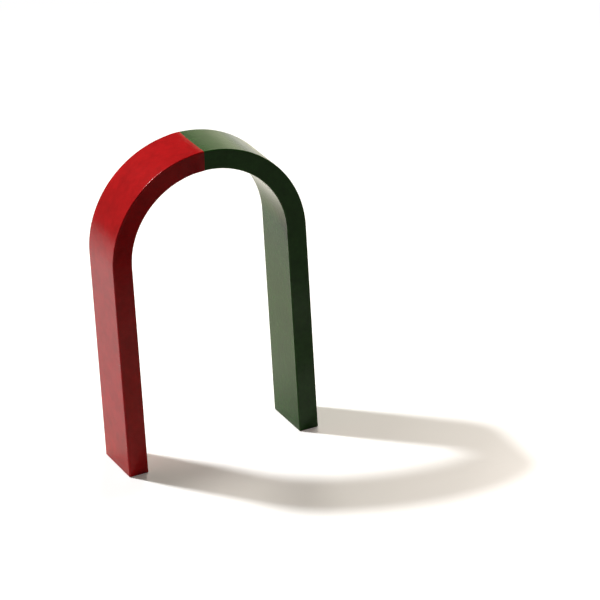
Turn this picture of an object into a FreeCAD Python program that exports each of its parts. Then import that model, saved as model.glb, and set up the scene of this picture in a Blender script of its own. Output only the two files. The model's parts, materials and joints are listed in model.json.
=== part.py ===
# Horseshoe magnet: one flat steel bar bent into a U, standing on its two ground pole faces.
# Millimetres. The pole faces lie on z = 0, the U stands in the XZ plane, and Y runs across the bar.
import FreeCAD, Part
import math
import os
import Sketcher

# Each row: name, value, meaning.
SIZES = (
    ("overall_width", 70, "over the outer faces of the two legs"),
    ("overall_height", 110, "from the pole faces to the top of the bend"),
    ("bar_width", 20, "wide side of the flat bar"),
    ("bar_thickness", 7, "narrow side of the flat bar"),
    ("edge_radius", 0.5, "rounding of the long edges, all the way round the U"),
    ("pole_chamfer", 0.3, "edge break round each ground pole face"),
)
VALUE = {name: value for name, value, meaning in SIZES}

# The middle of the bar follows two straight legs and the half circle between them.
LINE_RADIUS = "(sizes.overall_width - sizes.bar_thickness) / 2"
LEG_LENGTH = "sizes.overall_height - sizes.overall_width / 2"

# How a sketch names the ends and the centre of a curve, and its own two axes and origin.
START, END, CENTRE = 1, 2, 3
ACROSS, UPRIGHT = -1, -2
ORIGIN = (-1, 1)

FLAT = 1e-6  # extents below this count as none when edges and faces are picked


def size_sheet(doc):
    """One row for each driving dimension: its name, value and meaning."""
    sheet = doc.addObject("Spreadsheet::Sheet", "sizes")
    for row, (name, value, meaning) in enumerate(SIZES, start=1):
        sheet.set(f"A{row}", name)
        sheet.set(f"B{row}", str(value))
        sheet.set(f"C{row}", meaning)
        sheet.setAlias(f"B{row}", name)
    doc.recompute()


def sketch_on(body, role, name):
    """A sketch on one of the body's own origin planes."""
    plane = next(f for f in body.Origin.OriginFeatures if f.Role == role)
    sketch = body.newObject("Sketcher::SketchObject", name)
    sketch.AttachmentSupport = [(plane, "")]
    sketch.MapMode = "FlatFace"
    return sketch


def line(sketch, start, end):
    """A straight line between two points of the sketch; returns its index."""
    points = [FreeCAD.Vector(x, y, 0) for x, y in (start, end)]
    return sketch.addGeometry(Part.LineSegment(*points))


def rule(sketch, kind, *where):
    """A geometric constraint without a dimension."""
    sketch.addConstraint(Sketcher.Constraint(kind, *where))


def dimension(sketch, name, expression, kind, *where):
    """A named dimension that follows the size sheet."""
    index = sketch.addConstraint(Sketcher.Constraint(kind, *where))
    sketch.renameConstraint(index, name)
    sketch.setExpression(f"Constraints.{name}", expression)


def bend_line(body):
    """The line that the middle of the bar follows: up one leg, round the bend, down the other."""
    radius = (VALUE["overall_width"] - VALUE["bar_thickness"]) / 2
    leg = VALUE["overall_height"] - VALUE["overall_width"] / 2
    sketch = sketch_on(body, "XZ_Plane", "bend_line")
    centre = FreeCAD.Vector(0, leg, 0)
    circle = Part.Circle(centre, FreeCAD.Vector(0, 0, 1), radius)
    left = line(sketch, (-radius, 0), (-radius, leg))
    bend = sketch.addGeometry(Part.ArcOfCircle(circle, 0, math.pi))
    right = line(sketch, (radius, leg), (radius, 0))

    rule(sketch, "Tangent", left, END, bend, END)
    rule(sketch, "Tangent", bend, START, right, START)
    rule(sketch, "Vertical", left)
    rule(sketch, "Vertical", right)
    rule(sketch, "PointOnObject", left, START, ACROSS)
    rule(sketch, "PointOnObject", right, END, ACROSS)
    rule(sketch, "PointOnObject", bend, CENTRE, UPRIGHT)
    dimension(sketch, "line_radius", LINE_RADIUS, "Radius", bend, radius)
    dimension(sketch, "leg_length", LEG_LENGTH, "DistanceY", left, START, left, END, leg)
    return sketch


def bar_section(body):
    """The flat bar's square-cornered section, at the foot of the left leg."""
    outer = -VALUE["overall_width"] / 2
    inner = outer + VALUE["bar_thickness"]
    back = VALUE["bar_width"] / 2
    front = -back
    sketch = sketch_on(body, "XY_Plane", "bar_section")
    corners = ((outer, front), (inner, front), (inner, back), (outer, back))
    sides = [line(sketch, corners[i], corners[(i + 1) % 4]) for i in range(4)]
    front_side, inner_side, back_side, outer_side = sides

    for side, following in zip(sides, sides[1:] + sides[:1]):
        rule(sketch, "Coincident", side, END, following, START)
    rule(sketch, "Horizontal", front_side)
    rule(sketch, "Horizontal", back_side)
    rule(sketch, "Vertical", inner_side)
    rule(sketch, "Symmetric", outer_side, START, outer_side, END, ACROSS)
    dimension(
        sketch, "outer_face", "sizes.overall_width / 2",
        "DistanceX", outer_side, START, *ORIGIN, -outer,
    )
    dimension(
        sketch, "thickness", "sizes.bar_thickness",
        "DistanceX", front_side, START, front_side, END, inner - outer,
    )
    dimension(
        sketch, "width", "sizes.bar_width",
        "DistanceY", inner_side, START, inner_side, END, back - front,
    )
    return sketch


def bent_bar(body):
    """The section carried along the bend line, square to it all the way."""
    path = bend_line(body)
    section = bar_section(body)
    body.Document.recompute()
    bar = body.newObject("PartDesign::AdditivePipe", "bent_bar")
    bar.Profile = section
    bar.Spine = (path, ["Edge1", "Edge2", "Edge3"])
    bar.Mode = "Frenet"
    body.Document.recompute()
    return bar


def broken_pole_edges(body, bar):
    """A small edge break round the two end faces of the bar, which are ground flat."""
    ends = [
        f"Face{number}"
        for number, face in enumerate(bar.Shape.Faces, start=1)
        if face.BoundBox.ZLength < FLAT and abs(face.BoundBox.ZMin) < FLAT
    ]
    chamfer = body.newObject("PartDesign::Chamfer", "pole_edges")
    chamfer.Base = (bar, ends)
    chamfer.setExpression("Size", "sizes.pole_chamfer")
    body.Document.recompute()
    return chamfer


def rounded_long_edges(body, bar):
    """Rounding on every edge that runs along the bar, up the legs and round the bend."""
    along = [
        f"Edge{number}"
        for number, edge in enumerate(bar.Shape.Edges, start=1)
        if edge.BoundBox.YLength < FLAT and edge.BoundBox.ZLength > FLAT
    ]
    fillet = body.newObject("PartDesign::Fillet", "long_edges")
    fillet.Base = (bar, along)
    fillet.setExpression("Radius", "sizes.edge_radius")
    body.Document.recompute()
    return fillet


def magnet(doc):
    """The whole magnet: one bent bar, its pole edges broken and its long edges rounded."""
    body = doc.addObject("PartDesign::Body", "magnet")
    body.Label = "magnet"
    bar = bent_bar(body)
    bar = broken_pole_edges(body, bar)
    body.Tip = rounded_long_edges(body, bar)
    return body


def check(doc, parts):
    """Stop if an object failed, a sketch can still move, or a piece isn't one sound solid."""
    for item in doc.Objects:
        if {"Invalid", "Error"} & set(item.State):
            raise RuntimeError(f"{item.Name} failed: {item.State}")
        if item.isDerivedFrom("Sketcher::SketchObject") and not item.FullyConstrained:
            raise RuntimeError(f"{item.Name} isn't fully constrained")
    for part in parts:
        shape = part.Shape
        if shape.isNull() or not shape.isValid() or len(shape.Solids) != 1:
            raise RuntimeError(f"{part.Label} isn't one valid solid")
        box = shape.optimalBoundingBox()
        size = " x ".join(f"{length:.2f}" for length in (box.XLength, box.YLength, box.ZLength))
        print(f"{part.Label}: {size} mm, {shape.Volume:.1f} mm3")


doc = FreeCAD.newDocument("horseshoe_magnet")
size_sheet(doc)
parts = [magnet(doc)]
doc.recompute()
check(doc, parts)
os.makedirs("parts", exist_ok=True)
for part in parts:
    part.Shape.exportStep(f"parts/{part.Label}.step")
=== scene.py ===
"""Looks of a horseshoe magnet: a flat steel bar bent into a U, one half red enamel, the other green.

Metres, in the row frame: X from the red leg to the green leg, Y across the bar, Z up from the poles.
"""
import json
import math

import bpy
import numpy as np
from mathutils import Matrix, Vector


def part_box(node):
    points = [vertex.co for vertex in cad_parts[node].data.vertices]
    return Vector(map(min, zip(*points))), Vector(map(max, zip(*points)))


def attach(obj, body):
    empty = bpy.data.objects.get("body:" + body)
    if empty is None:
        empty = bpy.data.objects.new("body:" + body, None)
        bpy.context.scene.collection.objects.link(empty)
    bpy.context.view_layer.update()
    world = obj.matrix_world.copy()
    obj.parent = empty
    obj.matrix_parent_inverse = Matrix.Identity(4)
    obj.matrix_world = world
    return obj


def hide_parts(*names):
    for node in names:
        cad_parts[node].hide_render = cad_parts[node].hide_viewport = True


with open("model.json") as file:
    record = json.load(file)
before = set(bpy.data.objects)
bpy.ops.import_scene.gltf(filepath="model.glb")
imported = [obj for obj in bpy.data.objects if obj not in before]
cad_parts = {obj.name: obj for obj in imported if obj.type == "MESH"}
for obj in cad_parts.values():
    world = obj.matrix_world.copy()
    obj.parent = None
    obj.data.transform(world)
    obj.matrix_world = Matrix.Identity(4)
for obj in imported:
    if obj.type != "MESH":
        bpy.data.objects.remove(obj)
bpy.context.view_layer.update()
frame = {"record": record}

# The bar, read from the frame: its middle line stands over the middle of each pole face.
LOW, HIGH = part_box("magnet")
POLES = {mount["name"]: mount["pos_m"] for mount in frame["record"]["mounts"]}
LINE_RADIUS = abs(POLES["red_pole_face"][0])
BAR_THICKNESS = 2 * (HIGH.x - LINE_RADIUS)
BAR_WIDTH = HIGH.y - LOW.y
LEG_LENGTH = HIGH.z - HIGH.x
BAR_LENGTH = 2 * LEG_LENGTH + math.pi * LINE_RADIUS
EDGE_RADIUS = 0.0005
FOOT_RADIUS = 0.0003

# How many rings of the section stand on each stretch of the bar, and the decimals of their distances
# along it, so that two rings at one place are one ring.
FOOT_RINGS = 5
LEG_RINGS = 30
BEND_RINGS = 121
LIP_RINGS = 45
STEP_RINGS = 9
DECIMALS = 9

# The coats: the red one was sprayed last and ends in a low lip over the green one at the crown. Near
# it they lie a little under the bar's outline, and rise to it between two distances from the split.
GREEN_STEP = 0.00002
LIP_HEIGHT = 0.00008
LIP_WIDTH = 0.0036
STEP_WIDTH = 0.0002
RISE_PLACES = (0.012, 0.060)

# The wobble of the masking tape's line: its size, how far from the crown the rings follow it, and its
# waves: how many go round the bar, their share of the wobble and where each starts.
TAPE_WOBBLE = 0.00012
TAPE_REACH = 4 * LIP_WIDTH
TAPE_WAVES = ((3, 0.55, 0.8), (7, 0.30, 2.1), (17, 0.15, 0.0))

# Colours, linear: the enamels and the bare metal of the poles.
WHITE = (1.0, 1.0, 1.0, 1.0)
RED = (0.42, 0.005, 0.007, 1.0)
GREEN = (0.021, 0.074, 0.014, 1.0)
STEEL = (0.56, 0.55, 0.53, 1.0)

# Where most of a noise lies, and the enamel's textures: cells a metre, detail, and the levels at the
# low and the high end of that range.
USUAL_NOISE = (0.3, 0.7)
MOTTLE = (420, 4, -0.5, 0.5)
# The wider clouds are also painted shade: their size makes them darken the red bend partway round and
# lighten it near the crown.
CLOUDS_AND_PAINTED_SHADE = (115, 2, -0.6, 0.6)
GRAIN = (2600, 2, 0.96, 1.04)
SHEEN_CLOUDS = (130, 3, -0.03, 0.03)
ORANGE_PEEL = (950, 2, 0, 1)
FINE_PEEL = (3600, 2, 0, 0.25)

# The enamel: the strength of the mottle in each colour, the roughness, the height of the peel, how
# the edges differ, and the dust nibs: cells a metre, the share of a cell at which a nib starts to fall
# and ends, and its height in peels.
RED_MOTTLE = 0.18
GREEN_MOTTLE = 0.22
ENAMEL_ROUGHNESS = 0.16
ENAMEL_IOR = 1.34
PEEL_HEIGHT = 0.000014
EDGE_PALER = 0.10
EDGE_DULLER = 0.04
EDGE_UNEVEN = 2.5
NIB_CELLS = 240
NIB_RIM = (0.05, 0.11)
NIB_HEIGHT = 1.2

# The ground steel: its noise, one cell for each unit of a place that is stretched along X, Y and Z,
# the shades and the depth of the grinding lines, and the roughness.
GRINDING = (1, 3, 0, 1)
GRIND_STRETCH = (9000, 160, 1)
GRIND_SHADES = (0.86, 1.04)
GRIND_DEPTH = 0.000004
STEEL_ROUGHNESS = 0.36

# The camera of the photograph: where it looks, from where, and through which lens.
CAMERA_AZIMUTH = -24.386
CAMERA_ELEVATION = 25.385
CAMERA_ROLL = -3.463
CAMERA_DISTANCE = 1.39743
CAMERA_TARGET = (0.02874, -0.01501, 0.05121)
FOCAL_PIXELS = 4207.1
PICTURE_PIXELS = 600
SENSOR = 36.0

# The lamps: a place, a width, a level at which 1 lights a surface that faces it fully, a colour, and
# whether gloss shows it. The key lamp stands behind the red leg and throws the shadow forward to the
# right. Two weak wide ones above and behind the green leg break up the inside of that shadow.
PLAIN = (1.0, 1.0, 1.0)
WARM = (1.0, 0.94, 0.84)
LAMPS = (
    ("key_lamp", (-0.207, 0.233, 0.467), 0.05, 0.97, PLAIN, True),
    ("top_lamp", (0.098, 0.082, 0.586), 0.12, 0.26, WARM, False),
    ("back_lamp", (0.191, 0.365, 0.437), 0.12, 0.16, WARM, False),
)

# Three panels, soft lights that stand one above the other on the floor behind the green leg: a place,
# a width and height, a level and a colour. The top of the bend mirrors them.
PANELS = (
    ("low_panel", (0.405, 0.445, 0.0525), (0.41, 0.105), 0.73, (1.0, 0.98, 0.85)),
    ("middle_panel", (0.405, 0.445, 0.152), (0.41, 0.1), 1.06, (1.0, 1.0, 0.72)),
    ("upper_panel", (0.405, 0.445, 0.282), (0.41, 0.165), 0.76, (1.0, 1.0, 0.69)),
)

# What the lamps and the panels are aimed at.
AIM = (0.0, 0.0, 0.06)

# The room is dim, and a little paler behind to the left: the way to that side, how far a direction
# points that way where the change starts and ends, and the levels there.
ROOM_WARMTH = (1.0, 0.97, 0.83, 1.0)
ROOM_SIDE = (-0.8, 0.6, 0.0)
ROOM_TURNS = (0.0, 0.8)
ROOM_LEVELS = (0.05, 0.15)

# The floor is white to the camera. It gives off a warm light, which shows only in the shadows: stops
# of distance along the way to their tip, and strength. Far from the magnet it turns plain white.
FLOOR_REACH = 8.0
SHADOW_WARMTH = (1.0, 0.895, 0.825, 1.0)
TIP_SIDE = (0.707, -0.707, 0.0)
LIFT_STOPS = (
    (-0.01, 0.11), (0.015, 0.21), (0.032, 0.165), (0.055, 0.185), (0.09, 0.31), (0.12, 0.54),
)
FAR_PLACES = (0.18, 0.45)

# What the magnet sees of the floor is painted light and shade: pale behind it and dim in front. Stops
# of distance along the way to the painted light side, and paleness, for bounced light and for gloss.
# Gloss takes a share by the distance to the right. Right of the green leg neither is lower than a level
# that grows between two places.
PAINTED_LIGHT_SIDE = (-0.42, 0.91, 0.0)
BOUNCE_STOPS = ((-0.22, 0.0), (-0.10, 0.12), (-0.04, 0.36), (0.03, 0.94))
GLOSS_STOPS = (
    (-0.24, 0.06), (-0.18, 0.0), (-0.10, 0.28), (-0.04, 0.28), (0.0, 0.32), (0.03, 0.55), (0.17, 0.76),
)
GLOSS_SHARES = ((-0.09, 0.94), (0.0, 1.17), (0.055, 1.6), (0.12, 1.15), (0.2, 1.12))
RIGHT_PLACES = (0.05, 0.10)
RIGHT_BOUNCE = 0.70
RIGHT_GLOSS = 0.16

# The painted tint of the light that the magnet sees bounced and mirrored from the floor: its green, and
# its blue by the distance to the right.
TINT_GREEN = 0.98
TINT_BLUE = (
    (-0.05, 0.98), (-0.015, 0.80), (0.02, 0.86), (0.06, 0.91), (0.15, 0.81), (0.2, 0.82), (0.28, 0.96),
)


def bar_line(distance):
    """Middle line of the bar at a distance from the red pole, and the way out from the U there.

    Straight up one leg, a half circle, and straight down the other leg. With turn as the angle
    already bent, the point is at minus radius times cos(turn) across, and at the length of leg
    climbed so far plus radius times sin(turn) up. The way out is minus cos(turn) across, sin(turn) up.
    """
    turn = np.clip((distance - LEG_LENGTH) / LINE_RADIUS, 0, math.pi)
    climbed = np.minimum(np.minimum(distance, BAR_LENGTH - distance), LEG_LENGTH)
    across = -LINE_RADIUS * np.cos(turn)
    up = climbed + LINE_RADIUS * np.sin(turn)
    return np.stack((across, up), -1), np.stack((-np.cos(turn), np.sin(turn)), -1)


def section(corner_steps=8, wide_steps=16, narrow_steps=8):
    """Outline of the bar's section, once round, as columns of out from the U and along Y.

    A rectangle of thickness by width with quarter circles at its corners. Returned as the centre
    of the nearest corner or the point on the flat inside it, the unit direction in which the edge
    radius reaches from there, and 1 for a point on a rounded edge or 0 for one on a flat.
    """
    out = BAR_THICKNESS / 2 - EDGE_RADIUS
    side = BAR_WIDTH / 2 - EDGE_RADIUS
    corners = np.array(((out, -side), (out, side), (-out, side), (-out, -side)))
    inside, direction, rounded = [], [], []
    for turn, corner in enumerate(corners):
        angle = (turn - 1) * math.pi / 2 + np.linspace(0, math.pi / 2, corner_steps + 1)
        arc = np.stack((np.cos(angle), np.sin(angle)), -1)
        steps = narrow_steps if turn % 2 else wide_steps
        share = (1 - np.cos(np.linspace(0, math.pi, steps + 1)[1:-1, None])) / 2
        inside += [corner + 0 * arc, corner + (corners[(turn + 1) % 4] - corner) * share]
        direction += [arc, arc[-1] + 0 * share]
        rounded += [np.ones(corner_steps + 1), np.zeros(steps - 1)]
    return np.concatenate(inside), np.concatenate(direction), np.concatenate(rounded)


def stations():
    """Distances along the bar for the rings, and how far each ring is drawn in from the outline.

    Coarse along the legs, a degree and a half apart round the bend, and fine over the lip, from two
    lip widths before the split to one past it. The edge round each foot is a quarter circle: the ring
    is drawn in by the foot radius minus the root of its square minus the square of what is left to it.
    """
    middle = BAR_LENGTH / 2
    foot = FOOT_RADIUS * (1 - np.sin(np.linspace(0, math.pi / 2, FOOT_RINGS)))
    leg = np.linspace(FOOT_RADIUS, LEG_LENGTH, LEG_RINGS)
    lip = np.linspace(middle - 2 * LIP_WIDTH, middle + LIP_WIDTH, LIP_RINGS)
    step = np.linspace(middle, middle + STEP_WIDTH, STEP_RINGS)
    bend = np.linspace(LEG_LENGTH, BAR_LENGTH - LEG_LENGTH, BEND_RINGS)
    bend = bend[(bend < lip[0]) | (bend > lip[-1])]
    along = np.concatenate((foot, leg, bend, lip, step, BAR_LENGTH - leg, BAR_LENGTH - foot))
    along = np.unique(along.round(DECIMALS))
    left = np.clip(FOOT_RADIUS - np.minimum(along, BAR_LENGTH - along), 0, FOOT_RADIUS)
    return along, FOOT_RADIUS - np.sqrt(FOOT_RADIUS ** 2 - left ** 2)


def smooth_step(share):
    """Three times the square of a share less twice its cube, kept between 0 and 1."""
    share = np.clip(share, 0, 1)
    return share * share * (3 - 2 * share)


def coat_depth(past_split):
    """How far the coat lies under the bar's outline, at a distance past the colour split.

    Near the crown the red side lies at the lip's height under it and swells to it just before the
    split: a bell of the lip's width. At the split a smooth step goes down to the green coat. Away
    from the crown both coats rise to the outline by a smooth step.
    """
    bell = np.exp(-((past_split + LIP_WIDTH / 2) / (LIP_WIDTH / 2)) ** 2)
    depth = LIP_HEIGHT * (1 - bell) + GREEN_STEP * smooth_step(past_split / STEP_WIDTH)
    start, end = RISE_PLACES
    return depth * (1 - smooth_step((abs(past_split) - start) / (end - start)))


def tape_line(around):
    """Wobble of the colour split, a distance along the bar, for a share of the way round it.

    The size of the wobble times the sum of the waves: each is its share times the sine of its number
    of turns round the bar plus its start.
    """
    turn = 2 * math.pi * around
    return TAPE_WOBBLE * sum(share * np.sin(count * turn + start) for count, share, start in TAPE_WAVES)


def skin_points(along, drawn_in):
    """Points of the skin, ring by ring, and 1 for a point on a rounded edge or 0 for one on a flat.

    A point is the middle line's point, plus its out part times the way out, plus its Y part. Near
    the crown the rings follow the tape line, so that the lip and the change of colour wobble with it.
    """
    inside, direction, rounded = section()
    around = np.arange(len(inside)) / len(inside)
    past_split = along - BAR_LENGTH / 2
    near_crown = np.clip(1 - abs(past_split) / TAPE_REACH, 0, 1)
    line, way_out = bar_line(along[:, None] + near_crown[:, None] * tape_line(around))
    depth = coat_depth(past_split) + drawn_in
    reach = inside + direction * (EDGE_RADIUS - depth[:, None, None])
    flat = line + way_out * reach[..., :1]
    return np.stack((flat[..., 0], reach[..., 1], flat[..., 1]), -1), rounded


def magnet_mesh():
    """The bar as one closed skin: rings of the section carried along the middle line, with flat ends.

    Faces before the split are red, those past it green, and the two ends bare.
    """
    along, drawn_in = stations()
    points, rounded = skin_points(along, drawn_in)
    rings, count = points.shape[:2]
    index = np.arange(rings * count).reshape(rings, count)
    after = np.roll(index, -1, 1)
    quads = np.stack((index[:-1], index[1:], after[1:], after[:-1]), -1).reshape(-1, 4)
    ends = [index[0].tolist(), index[-1, ::-1].tolist()]

    mesh = bpy.data.meshes.new("enamelled_bar")
    mesh.from_pydata(points.reshape(-1, 3).tolist(), [], quads.tolist() + ends)
    edge = mesh.attributes.new("edge", "FLOAT", "POINT")
    edge.data.foreach_set("value", np.tile(rounded, rings).astype(np.float32))

    red, green, bare = range(3)
    past_split = along[:-1] > BAR_LENGTH / 2 - 10 ** -DECIMALS
    coat = np.repeat(np.where(past_split, green, red), count)
    mesh.polygons.foreach_set("material_index", np.append(coat, (bare, bare)).astype(np.int32))
    mesh.polygons.foreach_set("use_smooth", np.append(np.ones(len(quads), bool), (False, False)))
    mesh.update()
    return mesh


def add(tree, kind, values=None, **settings):
    """A shader node with its settings made and its inputs set or linked."""
    made = tree.nodes.new("ShaderNode" + kind)
    for name, value in settings.items():
        setattr(made, name, value)
    for name, value in (values or {}).items():
        if isinstance(value, bpy.types.NodeSocket):
            tree.links.new(value, made.inputs[name])
        else:
            made.inputs[name].default_value = value
    return made


def total(tree, first, second):
    """Sum of two values."""
    return add(tree, "Math", {0: first, 1: second}, operation="ADD").outputs["Value"]


def times(tree, first, second):
    """Product of two values."""
    return add(tree, "Math", {0: first, 1: second}, operation="MULTIPLY").outputs["Value"]


def higher(tree, first, second):
    """The higher of two values."""
    return add(tree, "Math", {0: first, 1: second}, operation="MAXIMUM").outputs["Value"]


def between(tree, share, first, second):
    """Value that goes from the first to the second as a share goes from 0 to 1."""
    return add(tree, "Mix", {0: share, 2: first, 3: second}).outputs["Result"]


def spread(tree, value, places, levels, kind="LINEAR"):
    """Level that goes from one to another between two places."""
    made = add(tree, "MapRange", {"Value": value, "From Min": places[0], "From Max": places[1],
                                  "To Min": levels[0], "To Max": levels[1]}, interpolation_type=kind)
    return made.outputs["Result"]


def ramp(tree, value, stops):
    """Level at a distance, by straight lines between stops of distance and level."""
    start, end = stops[0][0], stops[-1][0]
    made = add(tree, "ValToRGB", {"Fac": spread(tree, value, (start, end), (0, 1))})
    elements = made.color_ramp.elements
    for number, (distance, level) in enumerate(stops):
        stop = elements[number] if number < 2 else elements.new(1.0)
        stop.position = (distance - start) / (end - start)
        stop.color = (level, level, level, 1.0)
    return made.outputs["Color"]


def noise(tree, place, cells, detail, low, high):
    """Noise at so many cells a metre, spread from low to high over its usual range."""
    made = add(tree, "TexNoise", {"Vector": place, "Scale": cells, "Detail": detail})
    return spread(tree, made.outputs["Fac"], USUAL_NOISE, (low, high))


def along_way(tree, place, way):
    """Distance of a place along a way."""
    return add(tree, "VectorMath", {0: place, 1: way}, operation="DOT_PRODUCT").outputs["Value"]


def shaded(tree, colour, shade):
    """A colour times a shade."""
    return add(tree, "VectorMath", {0: colour, "Scale": shade}, operation="SCALE").outputs["Vector"]


def matt(tree, colour):
    """A matt surface."""
    return add(tree, "BsdfDiffuse", {"Color": colour}).outputs["BSDF"]


def shine(tree, colour, strength):
    """A surface that shines by itself."""
    return add(tree, "Emission", {"Color": colour, "Strength": strength}).outputs["Emission"]


def both(tree, first, second):
    """Two shaders added up."""
    return add(tree, "AddShader", {0: first, 1: second}).outputs["Shader"]


def mixed(tree, share, first, second):
    """Shader that goes from the first to the second as a share goes from 0 to 1."""
    return add(tree, "MixShader", {0: share, 1: first, 2: second}).outputs["Shader"]


def new_material(name):
    """An empty node material, its tree and its output node."""
    made = bpy.data.materials.new(name)
    made.use_nodes = True
    made.node_tree.nodes.clear()
    return made, made.node_tree, add(made.node_tree, "OutputMaterial")


def sprayed_enamel():
    """Sprayed enamel: a faint mottle in its colour, the peel and dust nibs of its skin, and its edges.

    Shade is a soft mottle of a few millimetres and wider clouds, times a fine grain, a little paler
    on the edges. The clouds also paint shade: darker partway round the red bend, lighter near the
    crown. Height is orange peel of a millimetre and a finer texture a quarter as high, both
    stronger on the edges, and sparse round nibs.
    """
    tree = bpy.data.node_groups.new("sprayed_enamel", "ShaderNodeTree")
    sockets = (("Colour", "INPUT", "NodeSocketColor"), ("Mottle", "INPUT", "NodeSocketFloat"),
               ("Roughness", "INPUT", "NodeSocketFloat"), ("Colour", "OUTPUT", "NodeSocketColor"),
               ("Roughness", "OUTPUT", "NodeSocketFloat"), ("Height", "OUTPUT", "NodeSocketFloat"))
    for name, way, kind in sockets:
        tree.interface.new_socket(name, in_out=way, socket_type=kind)
    given = tree.nodes.new("NodeGroupInput").outputs
    place = add(tree, "TexCoord").outputs["Object"]
    edge = add(tree, "Attribute", attribute_name="edge").outputs["Fac"]

    # The clouds in this swing are partly painted shade on the red bend.
    swing = total(tree, noise(tree, place, *MOTTLE), noise(tree, place, *CLOUDS_AND_PAINTED_SHADE))
    mottle = total(tree, times(tree, swing, given["Mottle"]), 1.0)
    grained = times(tree, mottle, noise(tree, place, *GRAIN))
    shade = times(tree, grained, total(tree, times(tree, edge, EDGE_PALER), 1.0))
    colour = shaded(tree, given["Colour"], shade)

    cloudy = total(tree, given["Roughness"], noise(tree, place, *SHEEN_CLOUDS))
    rough = total(tree, cloudy, times(tree, edge, EDGE_DULLER))

    cells = add(tree, "TexVoronoi", {"Vector": place, "Scale": NIB_CELLS}).outputs["Distance"]
    nibs = spread(tree, cells, NIB_RIM, (NIB_HEIGHT, 0.0), "SMOOTHSTEP")
    peel = total(tree, noise(tree, place, *ORANGE_PEEL), noise(tree, place, *FINE_PEEL))
    uneven = total(tree, times(tree, edge, EDGE_UNEVEN), 1.0)
    height = total(tree, times(tree, peel, uneven), nibs)

    out = tree.nodes.new("NodeGroupOutput").inputs
    tree.links.new(colour, out["Colour"])
    tree.links.new(rough, out["Roughness"])
    tree.links.new(height, out["Height"])
    return tree


def enamel(name, coat, colour, mottle):
    """A coat of enamel over the bar: the sprayed enamel group feeding a plain glossy paint."""
    made, tree, out = new_material(name)
    skin = tree.nodes.new("ShaderNodeGroup")
    skin.node_tree = coat
    skin.inputs["Colour"].default_value = colour
    skin.inputs["Mottle"].default_value = mottle
    skin.inputs["Roughness"].default_value = ENAMEL_ROUGHNESS
    bump = add(tree, "Bump", {"Height": skin.outputs["Height"], "Strength": 1.0,
                              "Distance": PEEL_HEIGHT})
    paint = add(tree, "BsdfPrincipled", {"Base Color": skin.outputs["Colour"],
                                         "Roughness": skin.outputs["Roughness"],
                                         "Normal": bump.outputs["Normal"], "IOR": ENAMEL_IOR})
    tree.links.new(paint.outputs["BSDF"], out.inputs["Surface"])
    return made


def ground_steel():
    """Bare steel of the pole faces: fine grinding lines across the bar, as noise stretched along Y."""
    made, tree, out = new_material("ground_steel")
    place = add(tree, "TexCoord").outputs["Object"]
    stretched = add(tree, "Mapping", {"Vector": place, "Scale": GRIND_STRETCH})
    lines = noise(tree, stretched.outputs["Vector"], *GRINDING)
    colour = shaded(tree, STEEL[:3], spread(tree, lines, (0, 1), GRIND_SHADES))
    bump = add(tree, "Bump", {"Height": lines, "Strength": 1.0, "Distance": GRIND_DEPTH})
    metal = add(tree, "BsdfPrincipled", {"Base Color": colour, "Metallic": 1.0,
                                         "Roughness": STEEL_ROUGHNESS,
                                         "Normal": bump.outputs["Normal"]})
    tree.links.new(metal.outputs["BSDF"], out.inputs["Surface"])
    return made


def magnet():
    """The enamelled bar, in the place of the CAD bar."""
    made = bpy.data.objects.new("magnet_bar", magnet_mesh())
    bpy.context.scene.collection.objects.link(made)
    coat = sprayed_enamel()
    made.data.materials.append(enamel("red_enamel", coat, RED, RED_MOTTLE))
    made.data.materials.append(enamel("green_enamel", coat, GREEN, GREEN_MOTTLE))
    made.data.materials.append(ground_steel())
    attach(made, "root")
    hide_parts("magnet")


def floor_to_magnet(tree, place, lift, glossy):
    """Floor as the magnet sees it: painted light and shade, paler and dimmer by the stops, in bounced
    light and in gloss.

    The warm light in the shadows shows in gloss too, as dim as the floor is there.
    """
    across = add(tree, "SeparateXYZ", {0: place}).outputs["X"]
    # Painted light and shade: the floor's colour for the magnet's rays stands for how lit the floor is.
    pale = along_way(tree, place, PAINTED_LIGHT_SIDE)
    right_bounce = spread(tree, across, RIGHT_PLACES, (0, RIGHT_BOUNCE))
    bounce = higher(tree, ramp(tree, pale, BOUNCE_STOPS), right_bounce)
    gloss = times(tree, ramp(tree, pale, GLOSS_STOPS), ramp(tree, across, GLOSS_SHARES))
    gloss = higher(tree, gloss, spread(tree, across, RIGHT_PLACES, (0, RIGHT_GLOSS)))
    level = between(tree, glossy, bounce, gloss)
    colour = add(tree, "CombineColor", {"Red": level, "Green": times(tree, level, TINT_GREEN),
                                        "Blue": times(tree, level, ramp(tree, across, TINT_BLUE))})
    mirrored = times(tree, times(tree, lift, gloss), glossy)
    return both(tree, matt(tree, colour.outputs["Color"]), shine(tree, SHADOW_WARMTH, mirrored))


def floor_to_camera(tree, place, lift):
    """Floor as the camera sees it: matt white with warm light in its shadows, and plain far away."""
    near = both(tree, matt(tree, WHITE), shine(tree, SHADOW_WARMTH, lift))
    distance = add(tree, "VectorMath", {0: place}, operation="LENGTH").outputs["Value"]
    far = spread(tree, distance, FAR_PLACES, (0, 1), "SMOOTHSTEP")
    return mixed(tree, far, near, shine(tree, WHITE, 1.0))


def pale_floor():
    """Material of the floor, which looks different to the camera and to the magnet."""
    made, tree, out = new_material("pale_floor")
    place = add(tree, "TexCoord").outputs["Object"]
    ray = add(tree, "LightPath").outputs
    lift = ramp(tree, along_way(tree, place, TIP_SIDE), LIFT_STOPS)
    seen = floor_to_magnet(tree, place, lift, ray["Is Glossy Ray"])
    shown = floor_to_camera(tree, place, lift)
    tree.links.new(mixed(tree, ray["Is Camera Ray"], seen, shown), out.inputs["Surface"])
    return made


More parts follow.
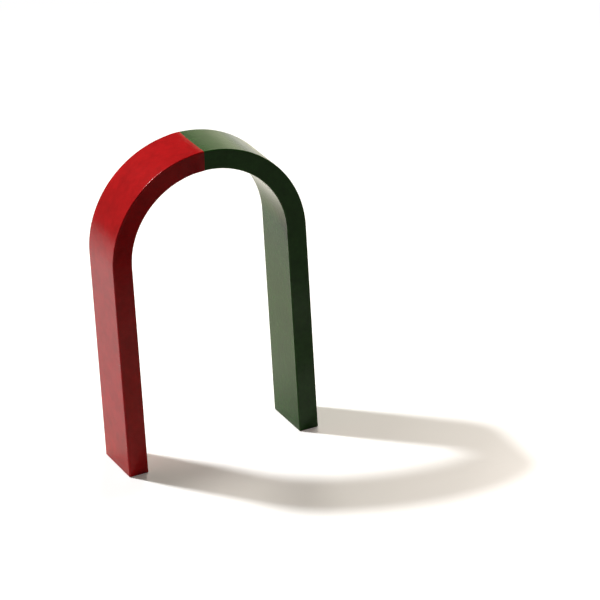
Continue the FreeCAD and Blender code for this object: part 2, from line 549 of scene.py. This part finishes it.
def floor():
    """Flat square floor under the magnet."""
    reach = FLOOR_REACH
    mesh = bpy.data.meshes.new("floor")
    mesh.from_pydata([(-reach, -reach, 0), (reach, -reach, 0), (reach, reach, 0), (-reach, reach, 0)],
                     [], [(0, 1, 2, 3)])
    mesh.materials.append(pale_floor())
    plane = bpy.data.objects.new("floor", mesh)
    bpy.context.scene.collection.objects.link(plane)


def room():
    """A dim room, white to the camera."""
    world = bpy.data.worlds.new("room")
    bpy.context.scene.world = world
    world.use_nodes = True
    tree = world.node_tree
    tree.nodes.clear()
    direction = add(tree, "TexCoord").outputs["Generated"]
    level = spread(tree, along_way(tree, direction, ROOM_SIDE), ROOM_TURNS, ROOM_LEVELS, "SMOOTHSTEP")
    dim = add(tree, "Background", {"Color": ROOM_WARMTH, "Strength": level})
    white = add(tree, "Background", {"Color": WHITE, "Strength": 1.0})
    to_camera = add(tree, "LightPath").outputs["Is Camera Ray"]
    look = mixed(tree, to_camera, dim.outputs["Background"], white.outputs["Background"])
    tree.links.new(look, add(tree, "OutputWorld").inputs["Surface"])


def aimed_light(name, place, shape, sizes, watts, colour, glints=True):
    """An area light at a place, aimed at the magnet and out of the camera's sight."""
    light = bpy.data.lights.new(name, "AREA")
    light.shape = shape
    light.size, light.size_y = sizes
    light.energy = watts
    light.color = colour
    made = bpy.data.objects.new(name, light)
    made.location = place
    made.rotation_euler = (Vector(AIM) - Vector(place)).to_track_quat("-Z", "Y").to_euler()
    made.visible_camera = False
    made.visible_glossy = glints
    bpy.context.scene.collection.objects.link(made)
    return light


def lamps():
    """The round lamps, as bright at any distance, and the panels.

    A level of 1 takes pi squared watts in such a lamp. A panel's level is its own shine, which
    takes pi times its area in watts.
    """
    for name, place, width, level, colour, glints in LAMPS:
        watts = level * math.pi ** 2
        lamp = aimed_light(name, place, "DISK", (width, width), watts, colour, glints)
        lamp.use_nodes = True
        tree = lamp.node_tree
        tree.nodes.clear()
        steady = add(tree, "LightFalloff", {"Strength": 1.0}).outputs["Constant"]
        tree.links.new(shine(tree, WHITE, steady), add(tree, "OutputLight").inputs["Surface"])
    for name, place, sizes, level, colour in PANELS:
        width, height = sizes
        aimed_light(name, place, "RECTANGLE", sizes, level * math.pi * width * height, colour)


def photo_camera():
    """The photograph's camera: back from its target by its distance, turned, raised and rolled."""
    turn, rise, roll = np.radians((CAMERA_AZIMUTH, CAMERA_ELEVATION, CAMERA_ROLL))
    back = Vector((math.sin(turn) * math.cos(rise), -math.cos(turn) * math.cos(rise), math.sin(rise)))
    level = Vector((math.cos(turn), math.sin(turn), 0))
    upward = back.cross(level)
    right = level * math.cos(roll) + upward * math.sin(roll)
    camera = bpy.data.cameras.new("photo_camera")
    camera.sensor_width = SENSOR
    camera.lens = FOCAL_PIXELS * SENSOR / PICTURE_PIXELS
    made = bpy.data.objects.new("photo_camera", camera)
    made.matrix_world = Matrix((right, back.cross(right), back)).transposed().to_4x4()
    made.location = Vector(CAMERA_TARGET) + back * CAMERA_DISTANCE
    bpy.context.scene.collection.objects.link(made)
    bpy.context.scene.camera = made


magnet()
floor()
room()
lamps()
photo_camera()
bpy.context.scene.view_settings.view_transform = "Standard"
bpy.context.view_layer.update()
